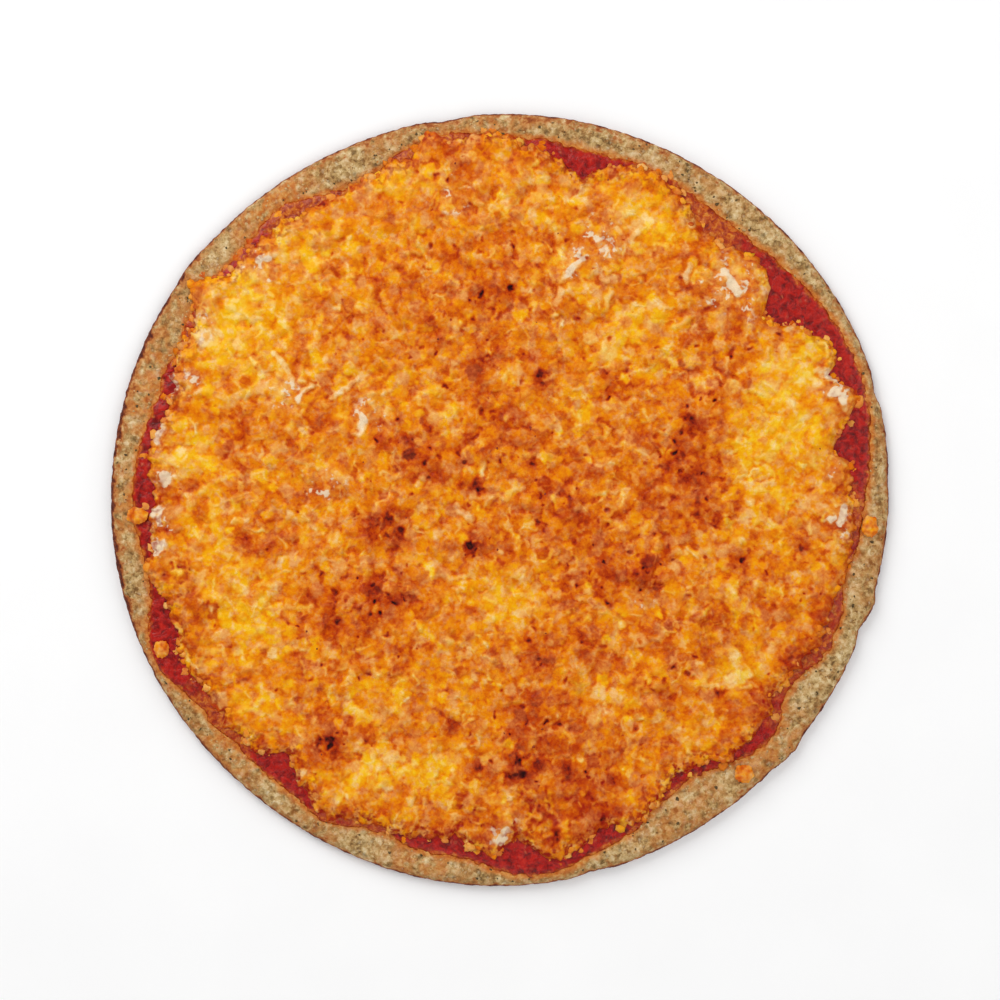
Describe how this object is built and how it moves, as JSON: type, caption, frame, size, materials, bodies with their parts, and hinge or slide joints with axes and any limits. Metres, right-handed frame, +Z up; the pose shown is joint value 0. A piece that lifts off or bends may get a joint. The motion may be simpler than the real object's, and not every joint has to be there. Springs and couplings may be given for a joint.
{
  "type": "cauliflower crust pizza",
  "caption": "Round, thin cauliflower crust pizza with a bare speckled margin, tomato sauce showing round the edge and a melted, browned cheese topping.",
  "frame": {"origin": "centre of the underside, under the middle of the outline's box", "axes": "+Z up through the pizza, from the underside to the cheese; +X and +Y along the picture's right and top"},
  "size_m": [0.2554, 0.2534, 0.0113],
  "materials": {
    "crust": "dry baked vegetable dough, grey-tan with dark specks and a toasted edge",
    "sauce": "wet, glossy tomato sauce",
    "cheese": "melted cheddar and mozzarella with browned blisters and a thin film of oil"
  },
  "bodies": {
    "root": {"crust": "crust", "sauce": "sauce", "cheese": "cheese", "cheese_bit_1": "cheese", "cheese_bit_2": "cheese", "cheese_bit_3": "cheese", "cheese_bit_4": "cheese"}
  },
  "joints": []
}
